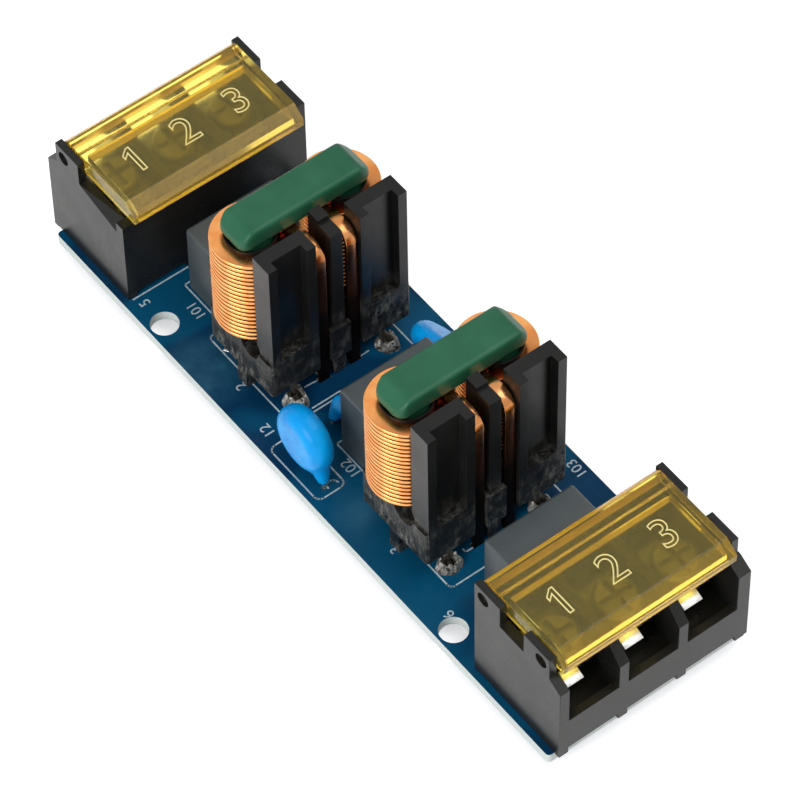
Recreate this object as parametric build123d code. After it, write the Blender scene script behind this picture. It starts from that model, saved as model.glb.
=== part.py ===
from build123d import *
import math
import os

# Line filter board: two screw terminal blocks, two upright chokes, box and disc capacitors.
# Millimetres. X runs along the board towards the front terminal block, Y across it, Z up.
# The origin is midway between the two wire faces, level with the tips of the soldered leads.

# Circuit board
board_length = 106.3
board_width = 32.0
front_overhang = 0.9
rear_overhang = 1.8
overall_length = board_length + front_overhang + rear_overhang
board_front = overall_length / 2 - front_overhang
board_rear = rear_overhang - overall_length / 2
board_thickness = 1.6
board_corner = 0.6
lead_reach = 1.8
board_top = lead_reach + board_thickness
mount_hole_radius = 2.0
mount_spacing_x = 62.5
mount_edge_margin = 2.45
mount_spacing_y = board_width - 2 * mount_edge_margin
lead_clearance = 0.06
lead_fit = 0.03

# Terminal block, measured from its back face towards the wire side and from the board's top
ways = 3
way_pitch = 9.5
wall = 1.5
block_width = ways * way_pitch + wall
block_depth = 17.1
block_back_x = overall_length / 2 - block_depth
thick_wall_extra = 0.5
ear_thickness = 1.1
hinge_height = 17.0
wall_height = hinge_height - 2.0
ear_height = hinge_height + 1.8
ear_length = 5.1
ear_front = block_depth - 2.2
ear_stub_low = wall_height - 2.3
wall_nose_height = wall_height - 1.3
partition_height = wall_height - 0.8
partition_nose_drop = 2.9
partition_nose_height = partition_height - partition_nose_drop
partition_slope_run = 2.6
lip_height = 6.9
lip_thickness = 1.2
pocket_floor = 5.5
back_wall = 1.5
hinge_inset = 1.7
hinge_pin_radius = 1.0
hinge_clearance = 0.05
hinge_pin_recess = 0.45
foot_rise = 0.85
foot_drop = 0.2
foot_gap = 0.05

# Cover, measured from its hinge axis
cover_back = 1.5
cover_overlap = 1.3
cover_reach = ear_front - hinge_inset + cover_overlap
cover_side_gap = 0.1
cover_top = hinge_height + 2.2
cover_skirt_bottom = hinge_height - 0.7
cover_shell = 1.0
cover_hinge_bar = 2.6
cover_bevel_run = 2.0
cover_bevel_drop = 1.5
cover_back_bevel = 0.9
cover_barrel_radius = 1.35

# Contact rail, clamp plate and screw, set by the screw's distance from the wire face
screw_setback = 7.7
screw_x = block_depth - screw_setback
rail_behind = 5.0
rail_ahead = 3.0
rail_start = screw_x - rail_behind
rail_end = screw_x + rail_ahead
rail_width = 6.6
rail_top = 9.6
rail_sheet = 1.0
rail_pin_side = 1.1
clamp_bottom = 10.6
clamp_sheet = 0.8
clamp_behind = 4.2
clamp_ahead = 3.5
clamp_start = screw_x - clamp_behind
clamp_end = screw_x + clamp_ahead
clamp_lip_setback = 2.7
clamp_lip_start = block_depth - clamp_lip_setback
clamp_width = 6.9
clamp_lip_width = 2.9
clamp_lip_reach = 1.2
clamp_lip_drop = 0.6
clamp_lip_lift = 0.9
screw_radius = 1.75
screw_head_radius = 3.1
screw_head_height = 1.8
screw_slot_width = 0.9
screw_slot_depth = 1.1
screw_tip_height = 5.7
thread_clearance = 0.03
clamp_hole_clearance = 0.25

# Choke, measured from the centre of its outline on the board
choke_front_x = 0.155 * overall_length
choke_rear_x = -0.1523 * overall_length
choke_front_y = -0.3
choke_rear_y = 0.2
coil_x = -2.8
coil_y = 7.15
coil_radius = 5.5
coil_wire_width = 1.8
coil_turns = 19
coil_pitch = 0.85
coil_bottom = 9.95
coil_height = coil_turns * coil_pitch
coil_top = coil_bottom + coil_height
coil_groove_depth = 0.18
coil_groove_width = 0.14
core_width = 5.8
core_length = 21.0
core_bar_height = 3.1
core_leg_side = 5.0
core_leg_rounding = 1.1
core_end_bevel = 1.7
core_corner_rounding = 1.4
core_edge_rounding = 0.4
core_gap = 0.4
core_top = coil_top + core_gap + core_bar_height
base_half_width = 11.4
base_back = -7.2
base_bottom = 3.7
base_top = coil_bottom - 0.05
base_rounding = 0.6
slot_gap = 0.1
tube_radius = coil_radius - coil_wire_width - 0.1
tube_wall = 0.3
post_back = 3.05
post_front = 6.5
post_inner = 3.55
post_outer = 11.05
post_top = 29.5
trough_wall = 1.4
trough_back_wall = 2.05
trough_floor = 10.5
recess_x = 1.7
recess_z = 10.0
recess_radius = 1.9
recess_depth = 1.8
divider_half = 0.9
divider_gap = 1.1
divider_step_x = 3.4
divider_top = 29.4
divider_front_top = 28.8
divider_front = 6.1
divider_foot = 0.15
post_foot_side = 2.0
foot_x = -0.35
strip_y = coil_y - coil_radius + coil_wire_width / 2
strip_half = coil_wire_width / 2
strip_sheet = 0.8
strip_rise = 0.8
strip_rise_run = 2.0
core_clearance = 0.3
strip_bend = 2.5
strip_bend_steps = 6
strip_front = divider_front - 0.1
tail_x = 5.45
tail_y = 7.2
tail_half = 0.5
tail_sheet = 0.8
tail_hook_height = 0.8
tail_hook_length = 1.5

# Box capacitors
box_cap_length = 14.4
box_cap_depth = 6.2
box_cap_height = 12.0
box_cap_rounding = 0.5
box_cap_backs = {
    "front": 0.3248 * overall_length - box_cap_depth,
    "middle": -0.0083 * overall_length,
    "rear": -0.3165 * overall_length,
}
box_cap_lead_y = 5.0
box_cap_lead_radius = 0.35

# Disc capacitors: size of the disc, height of its lowest point, centre of the lead pair,
# lean of the body about the lead line, and turn of the lead line
disc_rounding_share = 0.47
disc_lead_half_pitch = 3.75
disc_lead_radius = 0.3
disc_lead_depth = 0.8
disc_neck_start = 1.0
disc_neck_radius = 0.75
disc_neck_flare = 2.2
disc_neck_length = 3.8
disc_neck_tilt = 14.0
disc_near_margin = 3.0
disc_far_margin = 2.0
disc_sizes = {
    "near": {"radius": 4.9, "thick": 3.8, "foot": 1.9},
    "middle": {"radius": 3.1, "thick": 2.4, "foot": 0.9},
    "far": {"radius": 4.2, "thick": 3.2, "foot": 1.0},
}
disc_spots = {
    "near": {"x": -0.0046 * overall_length, "y": disc_near_margin - board_width / 2},
    "middle": {"x": -0.0413 * overall_length, "y": -2.0},
    "far": {"x": -0.0358 * overall_length, "y": board_width / 2 - disc_far_margin},
}
disc_leans = {"near": 0.0, "middle": 20.0, "far": 42.0}
disc_turns = {"near": 0.0, "middle": 90.0, "far": 7.0}

# Solder
solder_height = 1.1
crust_radius = 2.0
crust_height = 1.8
crust_tip_radius = 1.3
crust_ahead = 0.8
crust_outward = 0.4


def block(x0, x1, y0, y1, z0, z1):
    centre = Pos((x0 + x1) / 2, (y0 + y1) / 2, (z0 + z1) / 2)
    return centre * Box(x1 - x0, y1 - y0, z1 - z0)


def upright(x, y, z0, z1, radius):
    return Pos(x, y, (z0 + z1) / 2) * Cylinder(radius, z1 - z0)


def crossbar(x, z, y0, y1, radius):
    return Pos(x, (y0 + y1) / 2, z) * Rot(90, 0, 0) * Cylinder(radius, y1 - y0)


def across(points, y0, y1):
    # A side-view outline in X and Z, made solid from y0 to y1
    face = make_face(Polyline(*[(x, 0, z) for x, z in points], close=True))
    solid = extrude(face, amount=y1 - y0, dir=(0, 1, 0))
    return Pos(0, y0, 0) * solid


def wall_origins():
    return [-block_width / 2 + i * way_pitch for i in range(ways + 1)]


def way_centres():
    return [(i - (ways - 1) / 2) * way_pitch for i in range(ways)]


def stub_cut(outer_y):
    # Wedge that bevels the wall of the cut-down ear: full depth at the back, nothing at the front ear
    drop = wall_height - ear_stub_low
    sections = []
    for x, size in ((0, 1.0), (ear_front - ear_length, 0.01)):
        corners = [
            (x, outer_y, wall_height),
            (x, outer_y, wall_height - size * drop),
            (x, outer_y - size * wall, wall_height),
        ]
        sections.append(make_face(Polyline(*corners, close=True)))
    return loft(sections)


def end_wall(side, back_ear, extra):
    # One end wall with its hinge ears, which are thinner than the wall; side is -1 or 1
    half = block_width / 2
    outline = [
        (0, 0),
        (0, wall_height),
        (ear_front, wall_height),
        (block_depth, wall_nose_height),
        (block_depth, 0),
    ]
    inner, outer = sorted((side * (half - wall), side * (half + extra)))
    solid = across(outline, inner, outer)
    if not back_ear:
        solid = solid - stub_cut(outer)
    ear_starts = [ear_front - ear_length] + ([0] if back_ear else [])
    y0, y1 = sorted((side * (half - ear_thickness), side * half))
    for start in ear_starts:
        solid = solid + block(start, start + ear_length, y0, y1, wall_height - 1, ear_height)
    hole = hinge_pin_radius + hinge_clearance
    for start in ear_starts:
        x = hinge_inset if start == 0 else ear_front - hinge_inset
        solid = solid - crossbar(x, hinge_height, y0 - 1, y1 + 1, hole)
    return solid


def partition(y0):
    slope_start = block_depth - partition_slope_run
    outline = [
        (0, 0),
        (0, partition_height),
        (slope_start, partition_height),
        (block_depth, partition_nose_height),
        (block_depth, 0),
    ]
    return across(outline, y0, y0 + wall)


def rail_pin_slot(y, extra):
    half = rail_pin_side / 2 + extra
    x = rail_start + rail_sheet / 2
    return block(x - half, x + half, y - half, y + half, -lead_reach - 2, rail_top)


def terminal_housing(cut_back_ear):
    starts = wall_origins()
    half = block_width / 2
    floor = block(0, block_depth, -half, half, foot_rise, pocket_floor)
    back = block(0, back_wall, -half, half, foot_rise, wall_height)
    lip = block(block_depth - lip_thickness, block_depth, -half, half, foot_rise, lip_height)
    body = floor + back + lip
    body = body + end_wall(-1, True, 0)
    body = body + end_wall(1, not cut_back_ear, 0 if cut_back_ear else thick_wall_extra)
    for start in starts[1:-1]:
        body = body + partition(start)
    for start in starts:
        foot_back = block_depth - front_overhang + foot_gap
        body = body + block(foot_back, block_depth, start, start + wall, -foot_drop, 0.5)
    for y in way_centres():
        body = body - rail_pin_slot(y, lead_clearance)
    return body


def contact_rail(y):
    half = rail_width / 2
    top = block(rail_start, rail_end, y - half, y + half, rail_top - rail_sheet, rail_top)
    rear_leg = block(rail_start, rail_start + rail_sheet, y - half, y + half, pocket_floor, rail_top)
    pin_half = rail_pin_side / 2
    pin_x = rail_start + rail_sheet / 2
    pin = block(
        pin_x - pin_half, pin_x + pin_half, y - pin_half, y + pin_half, -board_top, pocket_floor + 1
    )
    rail = top + rear_leg + pin
    hole_low = rail_top - 2 * rail_sheet
    return rail - upright(screw_x, y, hole_low, rail_top + rail_sheet, screw_radius + thread_clearance)


def clamp_plate(y):
    half = clamp_width / 2
    plate = block(clamp_start, clamp_end, y - half, y + half, clamp_bottom, clamp_bottom + clamp_sheet)
    lip_top = clamp_bottom + clamp_sheet + clamp_lip_lift
    lip_end = clamp_lip_start + clamp_lip_reach
    lip = across(
        [
            (clamp_end - 1, clamp_bottom),
            (clamp_end - 1, clamp_bottom + clamp_sheet),
            (clamp_end - 0.3, clamp_bottom + clamp_sheet),
            (clamp_end + 0.5, lip_top),
            (clamp_lip_start, lip_top),
            (lip_end, lip_top - clamp_lip_drop),
            (lip_end - 0.5, lip_top - clamp_lip_drop - 0.35),
            (clamp_lip_start - 0.2, lip_top - clamp_sheet),
            (clamp_end + 0.7, lip_top - clamp_sheet),
            (clamp_end, clamp_bottom),
        ],
        y - half,
        y - half + clamp_lip_width,
    )
    hole_top = clamp_bottom + 2 * clamp_sheet
    hole_low = clamp_bottom - clamp_sheet
    hole = upright(screw_x, y, hole_low, hole_top, screw_radius + clamp_hole_clearance)
    return plate + lip - hole


def terminal_screw(y):
    head_bottom = clamp_bottom + clamp_sheet
    head_top = head_bottom + screw_head_height
    head = upright(screw_x, y, head_bottom, head_top, screw_head_radius)
    head = chamfer(head.edges().group_by(Axis.Z)[-1], 0.45)
    shank = upright(screw_x, y, screw_tip_height, head_bottom + 0.5, screw_radius)
    half = screw_slot_width / 2
    long_half = screw_head_radius - 0.6
    slot_bottom = head_top - screw_slot_depth
    slot_a = block(screw_x - long_half, screw_x + long_half, y - half, y + half, slot_bottom, head_top + 1)
    slot_b = block(screw_x - half, screw_x + half, y - long_half, y + long_half, slot_bottom, head_top + 1)
    return head + shank - slot_a - slot_b


def cover():
    # The cover lies along +X from its hinge axis, which is the local Y axis
    half = block_width / 2 - ear_thickness - cover_side_gap
    top = cover_top - hinge_height
    bottom = cover_skirt_bottom - hinge_height
    outer = [
        (-cover_back, bottom),
        (-cover_back, top - cover_back_bevel),
        (-cover_back + cover_back_bevel, top),
        (cover_reach - cover_bevel_run, top),
        (cover_reach, top - cover_bevel_drop),
        (cover_reach, bottom),
    ]
    inner = [
        (cover_hinge_bar, bottom - 1),
        (cover_hinge_bar, top - cover_shell),
        (cover_reach - cover_bevel_run - 0.3, top - cover_shell),
        (cover_reach - cover_shell, top - cover_bevel_drop - 0.2),
        (cover_reach - cover_shell, bottom - 1),
    ]
    shell = across(outer, -half, half) - across(inner, -half + cover_shell, half - cover_shell)
    barrel = crossbar(0, 0, -half, half, cover_barrel_radius)
    pin_end = block_width / 2 - hinge_pin_recess
    pins = crossbar(0, 0, -pin_end, pin_end, hinge_pin_radius)
    return shell + barrel + pins


def place_front(shape):
    return Pos(block_back_x, 0, board_top) * shape


def place_rear(shape):
    return Pos(-block_back_x, 0, board_top) * Rot(0, 0, 180) * shape


def cover_at(hinge_x):
    return Pos(hinge_x, 0, board_top + hinge_height) * cover()


def coil_profile():
    # Half section of the winding: a tube whose outside has a fine groove between turns
    inner = coil_radius - coil_wire_width
    points = [(inner, coil_bottom), (coil_radius, coil_bottom)]
    for i in range(1, coil_turns):
        z = coil_bottom + i * coil_pitch
        points.append((coil_radius, z - coil_groove_width / 2))
        points.append((coil_radius - coil_groove_depth, z))
        points.append((coil_radius, z + coil_groove_width / 2))
    points.append((coil_radius, coil_top))
    points.append((inner, coil_top))
    return points


def winding():
    # The winding on the near leg: its top end runs forward and down, its bottom end straight down
    face = make_face(Polyline(*[(r, 0, z) for r, z in coil_profile()], close=True))
    coil = Pos(coil_x, -coil_y, 0) * revolve(face, axis=Axis.Z)
    high = coil_top + strip_rise
    rise = coil_x + core_width / 2 + core_clearance
    outside = [(coil_x, coil_top), (rise, coil_top), (rise + strip_rise_run, high)]
    inside = [(x, z - strip_sheet) for x, z in outside]
    for i in range(strip_bend_steps + 1):
        turn = math.radians(90 * i / strip_bend_steps)
        for line, radius in ((outside, strip_bend), (inside, strip_bend - strip_sheet)):
            x = strip_front - strip_bend + radius * math.sin(turn)
            line.append((x, high - strip_bend + radius * math.cos(turn)))
    outside.append((strip_front, -board_top))
    inside.append((strip_front - strip_sheet, -board_top))
    strip_points = outside + inside[::-1]
    strip = across(strip_points, -strip_y - strip_half, -strip_y + strip_half)
    hook = coil_x + coil_radius - coil_wire_width + slot_gap
    tail_high = base_top
    tail_low = base_top - tail_sheet
    tail_points = [
        (hook, tail_high),
        (hook, coil_bottom + tail_hook_height),
        (hook + tail_hook_length, coil_bottom + tail_hook_height),
        (hook + tail_hook_length, tail_high),
        (tail_x + tail_half, tail_high),
        (tail_x + tail_half, -board_top),
        (tail_x - tail_half, -board_top),
        (tail_x - tail_half, tail_low),
        (hook, tail_low),
    ]
    tail = across(tail_points, -tail_y - tail_half, -tail_y + tail_half)
    return coil + strip + tail


def core_bar(z, up):
    # A bar across both legs, with its outer end corners bevelled; up is 1 for the upper bar
    half_l = core_length / 2
    near = z if up > 0 else z + core_bar_height
    far = near + up * core_bar_height
    outline = [
        (-half_l, near),
        (-half_l, far - up * core_end_bevel),
        (-half_l + core_end_bevel, far),
        (half_l - core_end_bevel, far),
        (half_l, far - up * core_end_bevel),
        (half_l, near),
    ]
    face = make_face(Polyline(*[(0, y, h) for y, h in outline], close=True))
    bar = Pos(coil_x - core_width / 2, 0, 0) * extrude(face, amount=core_width, dir=(1, 0, 0))
    bar = fillet(bar.edges().filter_by(Axis.Z), core_corner_rounding)
    return fillet(bar.edges().group_by(Axis.Z)[-1 if up > 0 else 0], core_edge_rounding)


def core():
    low = base_top - core_gap - core_bar_height
    high = coil_top + core_gap
    loop = core_bar(low, -1) + core_bar(high, 1)
    leg_half = core_leg_side / 2
    for side in (-1, 1):
        y = side * coil_y
        leg = block(
            coil_x - leg_half, coil_x + leg_half, y - leg_half, y + leg_half, low + 1, high + 1
        )
        loop = loop + fillet(leg.edges().filter_by(Axis.Z), core_leg_rounding)
    return loop


def bobbin():
    base = block(base_back, post_front, -base_half_width, base_half_width, base_bottom, base_top)
    base = fillet(base.edges().filter_by(Axis.Z), base_rounding)
    gap = slot_gap
    pocket_low = base_top - core_gap - core_bar_height - gap
    pocket = block(
        coil_x - core_width / 2 - gap,
        coil_x + core_width / 2 + gap,
        -core_length / 2 - gap,
        core_length / 2 + gap,
        base_bottom - 1,
        base_top - core_gap + gap,
    )
    solid = base - pocket
    for side in (-1, 1):
        y = side * coil_y
        solid = solid + upright(coil_x, y, base_top - 0.2, coil_top + 0.1, tube_radius)
    for side in (-1, 1):
        y = side * coil_y
        solid = solid - upright(coil_x, y, pocket_low, coil_top + 1, tube_radius - tube_wall)
    for side in (-1, 1):
        y0, y1 = sorted((side * post_inner, side * post_outer))
        post = block(post_back, post_front, y0, y1, base_bottom, post_top)
        trough = block(
            post_back + trough_back_wall,
            post_front + 1,
            y0 + trough_wall,
            y1 - trough_wall,
            trough_floor,
            post_top + 1,
        )
        solid = solid + (post - trough)
        foot_y = side * (base_half_width - post_foot_side / 2)
        reach = post_foot_side / 2
        solid = solid + block(
            foot_x - reach, foot_x + reach, foot_y - reach, foot_y + reach, 0, base_bottom + 0.5
        )
        y2, y3 = sorted((side * (base_half_width - recess_depth), side * (base_half_width + 1)))
        solid = solid - crossbar(recess_x, recess_z, y2, y3, recess_radius)
        solid = solid - block(
            coil_x + coil_radius - coil_wire_width,
            tail_x + tail_half + gap,
            side * tail_y - tail_half - gap,
            side * tail_y + tail_half + gap,
            base_bottom - 1,
            base_top + gap,
        )
        solid = solid - block(
            strip_front - strip_sheet - gap,
            post_front + 1,
            side * strip_y - strip_half - gap,
            side * strip_y + strip_half + gap,
            base_bottom - 1,
            trough_floor + 1,
        )
    divider_back = coil_x + core_width / 2 + divider_gap
    divider = block(divider_back, divider_step_x, -divider_half, divider_half, base_top - 0.5, divider_top)
    divider = divider + block(
        divider_step_x, divider_front, -divider_half, divider_half, base_top - 0.5, divider_front_top
    )
    divider = divider + block(
        divider_step_x, divider_front, -divider_half, divider_half, divider_foot, base_top
    )
    return solid + divider


def box_capacitor():
    body = block(0, box_cap_depth, -box_cap_length / 2, box_cap_length / 2, 0, box_cap_height)
    top = body.edges().group_by(Axis.Z)[-1]
    sides = body.edges().filter_by(Axis.Z)
    return fillet(top + sides, box_cap_rounding)


def box_capacitor_leads():
    x = box_cap_depth / 2
    return [upright(x, y, -board_top, 0, box_cap_lead_radius) for y in (-box_cap_lead_y, box_cap_lead_y)]


def disc_body(spec):
    # Upright in the X-Z plane, its lead line along X at the height where the coating starts
    radius = spec["radius"]
    disc = Rot(90, 0, 0) * Cylinder(radius, spec["thick"])
    disc = fillet(disc.edges().filter_by(GeomType.CIRCLE), disc_rounding_share * spec["thick"])
    disc = Pos(0, 0, spec["foot"] + radius) * disc
    for side in (-1, 1):
        neck = Cone(
            disc_neck_radius,
            disc_neck_flare * disc_neck_radius,
            disc_neck_length,
            align=(Align.CENTER, Align.CENTER, Align.MIN),
        )
        tilt = Rot(0, -side * disc_neck_tilt, 0)
        disc = disc + Pos(side * disc_lead_half_pitch, 0, disc_neck_start) * tilt * neck
    return disc


def disc_place(name):
    spot = disc_spots[name]
    return Pos(spot["x"], spot["y"], board_top) * Rot(0, 0, disc_turns[name])


def disc_leads(name):
    high = disc_neck_start + disc_lead_depth
    leads = []
    for side in (-1, 1):
        lead = upright(side * disc_lead_half_pitch, 0, -board_top, high, disc_lead_radius)
        leads.append(disc_place(name) * lead)
    return leads


def disc_capacitor(name):
    lean = Pos(0, 0, disc_neck_start) * Rot(disc_leans[name], 0, 0) * Pos(0, 0, -disc_neck_start)
    body = disc_place(name) * lean * disc_body(disc_sizes[name])
    for side in (-1, 1):
        socket = upright(
            side * disc_lead_half_pitch,
            0,
            -1,
            disc_neck_start + disc_lead_depth + 0.05,
            disc_lead_radius + lead_fit,
        )
        body = body - disc_place(name) * socket
    return body


def round_leads():
    # Every round lead that passes through the board: x, y and radius
    leads = []
    for back in box_cap_backs.values():
        for y in (-box_cap_lead_y, box_cap_lead_y):
            leads.append((back + box_cap_depth / 2, y, box_cap_lead_radius))
    for name in disc_spots:
        for side in (-1, 1):
            spot = (disc_place(name) * Pos(side * disc_lead_half_pitch, 0, 0)).position
            leads.append((spot.X, spot.Y, disc_lead_radius))
    return leads


def flat_leads():
    # Every flat lead that passes through the board: x, y and its two half widths
    leads = []
    for choke_x, choke_y in ((choke_front_x, choke_front_y), (choke_rear_x, choke_rear_y)):
        strip_x = choke_x + strip_front - strip_sheet / 2
        for side in (-1, 1):
            leads.append((strip_x, choke_y + side * strip_y, strip_sheet / 2, strip_half))
            leads.append((choke_x + tail_x, choke_y + side * tail_y, tail_half, tail_half))
    pin_x = block_back_x + rail_start + rail_sheet / 2
    for y in way_centres():
        for side in (-1, 1):
            leads.append((side * pin_x, y, rail_pin_side / 2, rail_pin_side / 2))
    return leads


def drill(solid, z0, z1, clearance):
    for x, y, radius in round_leads():
        solid = solid - upright(x, y, z0, z1, radius + clearance)
    for x, y, half_x, half_y in flat_leads():
        reach_x = half_x + clearance
        reach_y = half_y + clearance
        solid = solid - block(x - reach_x, x + reach_x, y - reach_y, y + reach_y, z0, z1)
    return solid


def circuit_board():
    board = block(board_rear, board_front, -board_width / 2, board_width / 2, lead_reach, board_top)
    board = fillet(board.edges().filter_by(Axis.Z), board_corner)
    for side_x in (-1, 1):
        for side_y in (-1, 1):
            x = side_x * mount_spacing_x / 2
            y = side_y * mount_spacing_y / 2
            board = board - upright(x, y, 0, board_top + 1, mount_hole_radius)
    return drill(board, 0, board_top + 1, lead_clearance)


def solder_cone(x, y, reach):
    base = reach + 0.75
    tip = reach + 0.2
    cone = Cone(tip, base, solder_height, align=(Align.CENTER, Align.CENTER, Align.MAX))
    return Pos(x, y, lead_reach) * cone


def lower_solder():
    joints = []
    for x, y, radius in round_leads():
        joints.append(solder_cone(x, y, radius))
    for x, y, half_x, half_y in flat_leads():
        joints.append(solder_cone(x, y, (half_x ** 2 + half_y ** 2) ** 0.5))
    solid = joints[0]
    for joint in joints[1:]:
        solid = solid + joint
    return drill(solid, 0, lead_reach + 1, lead_fit)


def upper_solder():
    # Crusted blobs at the feet of the chokes' channel posts
    solid = None
    for choke_x, choke_y in ((choke_front_x, choke_front_y), (choke_rear_x, choke_rear_y)):
        for side in (-1, 1):
            blob = Cone(
                crust_radius, crust_tip_radius, crust_height, align=(Align.CENTER, Align.CENTER, Align.MIN)
            )
            blob = fillet(blob.edges().group_by(Axis.Z)[-1], 0.5)
            x = choke_x + tail_x + crust_ahead
            y = choke_y + side * (tail_y + crust_outward)
            blob = Pos(x, y, board_top) * blob
            solid = blob if solid is None else solid + blob
    return drill(solid, board_top - 1, board_top + crust_height + 1, lead_fit)


def place_choke(shape, choke_x, choke_y):
    return Pos(choke_x, choke_y, board_top) * shape


def nodes():
    made = {"circuit_board": circuit_board()}
    for name, place, cut_ear in (("front", place_front, False), ("rear", place_rear, True)):
        made[f"terminal_{name}_housing"] = place(terminal_housing(cut_ear))
        made[f"terminal_{name}_contacts"] = place(Compound([contact_rail(y).solid() for y in way_centres()]))
        made[f"terminal_{name}_clamps"] = place(Compound([clamp_plate(y).solid() for y in way_centres()]))
        made[f"terminal_{name}_screws"] = place(Compound([terminal_screw(y).solid() for y in way_centres()]))
    made["terminal_front_cover"] = cover_at(block_back_x + hinge_inset)
    made["terminal_rear_cover"] = cover_at(-block_back_x - ear_front + hinge_inset)
    chokes = {"front": (choke_front_x, choke_front_y), "rear": (choke_rear_x, choke_rear_y)}
    for name, spot in chokes.items():
        near = winding()
        far = mirror(near, about=Plane.XZ)
        made[f"choke_{name}_core"] = place_choke(core(), *spot)
        made[f"choke_{name}_bobbin"] = place_choke(bobbin(), *spot)
        made[f"choke_{name}_winding_near"] = place_choke(near, *spot)
        made[f"choke_{name}_winding_far"] = place_choke(far, *spot)
    for name, back in box_cap_backs.items():
        made[f"x_capacitor_{name}"] = Pos(back, 0, board_top) * box_capacitor()
        leads = Compound([lead.solid() for lead in box_capacitor_leads()])
        made[f"x_capacitor_{name}_leads"] = Pos(back, 0, board_top) * leads
    for name in disc_spots:
        made[f"y_capacitor_{name}"] = disc_capacitor(name)
        made[f"y_capacitor_{name}_leads"] = Compound([lead.solid() for lead in disc_leads(name)])
    made["solder_joints_lower"] = lower_solder()
    made["solder_joints_upper"] = upper_solder()
    return made


os.makedirs("parts", exist_ok=True)
for node_name, shape in nodes().items():
    export_step(shape, f"parts/{node_name}.step")
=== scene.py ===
import math

import bmesh
import bpy
from mathutils import Matrix, Vector, noise


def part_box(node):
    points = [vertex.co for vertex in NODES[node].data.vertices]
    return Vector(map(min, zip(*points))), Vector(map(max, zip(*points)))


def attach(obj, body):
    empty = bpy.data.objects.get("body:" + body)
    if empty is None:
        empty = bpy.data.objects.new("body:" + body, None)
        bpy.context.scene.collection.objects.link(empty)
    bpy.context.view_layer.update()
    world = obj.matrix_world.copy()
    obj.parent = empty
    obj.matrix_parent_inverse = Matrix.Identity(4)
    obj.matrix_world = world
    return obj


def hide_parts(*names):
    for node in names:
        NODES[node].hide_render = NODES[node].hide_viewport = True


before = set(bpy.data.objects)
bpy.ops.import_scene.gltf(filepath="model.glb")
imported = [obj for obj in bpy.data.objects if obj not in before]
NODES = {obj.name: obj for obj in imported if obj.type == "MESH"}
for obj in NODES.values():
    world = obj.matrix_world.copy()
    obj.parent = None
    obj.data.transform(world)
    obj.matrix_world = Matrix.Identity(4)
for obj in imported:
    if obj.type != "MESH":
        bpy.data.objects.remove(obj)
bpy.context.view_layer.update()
MM = 0.001
UP = Vector((0, 0, 1))
MAIN = "filter"
ENDS = ("front", "rear")
BOARD_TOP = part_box("circuit_board")[1].z

# The windings' radius and their lowest and highest turn. The painted shade in the copper's grooves uses the
# same values.
COIL_RADIUS = 5.5 * MM
COIL_BOTTOM = BOARD_TOP + 9.95 * MM
COIL_TOP = BOARD_TOP + 26.1 * MM

# Angles between two faces of a CAD node: below the first the faces are merged, from the second on they
# belong to a curve, and above the third the edge between them is rounded.
MERGED_TURN, CURVED_TURN, SHARP_TURN = (math.radians(turn) for turn in (1.0, 1.2, 28.0))
MERGED_GAP = 2e-6


# ---- Small helpers for meshes ----
def new_object(name, data):
    obj = bpy.data.objects.new(name, data)
    bpy.context.scene.collection.objects.link(obj)
    return obj


def add_mesh(name, bm, material, body, smooth=40.0, replaces=()):
    mesh = bpy.data.meshes.new(name)
    bmesh.ops.recalc_face_normals(bm, faces=bm.faces)
    bm.to_mesh(mesh)
    bm.free()
    obj = new_object(name, mesh)
    mesh.materials.append(material)
    if smooth is not None:
        mesh.shade_smooth()
        mesh.set_sharp_from_angle(angle=math.radians(smooth))
    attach(obj, body)
    if replaces:
        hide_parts(*replaces)
    return obj


def mm(*values):
    return Vector([v * MM for v in values])


def ring_faces(bm, a, b):
    count = len(a)
    for i in range(count):
        j = (i + 1) % count
        bm.faces.new((a[i], a[j], b[j], b[i]))


def skin(bm, rings):
    """Faces from ring to ring, with a cap on the first and the last."""
    for a, b in zip(rings, rings[1:]):
        ring_faces(bm, a, b)
    bm.faces.new(list(reversed(rings[0])))
    bm.faces.new(rings[-1])


def sweep(path, section):
    """A new mesh: section points (across, up) carried along a path of (point, across, up)."""
    bm = bmesh.new()
    skin(bm, [[bm.verts.new(p + s * a + u * b) for a, b in section] for p, s, u in path])
    return bm


def rounded_section(width, height, radius, steps=3):
    """A rectangle with rounded corners as (across, up) points."""
    out = []
    for cx, cy, start in ((1, 1, 0), (-1, 1, 90), (-1, -1, 180), (1, -1, 270)):
        for k in range(steps + 1):
            a = math.radians(start + 90 * k / steps)
            x = cx * (width / 2 - radius) + radius * math.cos(a)
            y = cy * (height / 2 - radius) + radius * math.sin(a)
            out.append((x, y))
    return out


def node_bmesh(node):
    """The CAD node's own shape with its flat faces merged."""
    bm = bmesh.new()
    bm.from_mesh(NODES[node].data)
    bmesh.ops.remove_doubles(bm, verts=bm.verts, dist=MERGED_GAP)
    bmesh.ops.dissolve_limit(
        bm, angle_limit=MERGED_TURN, verts=bm.verts, edges=bm.edges, delimit={"NORMAL"}
    )
    return bm


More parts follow.
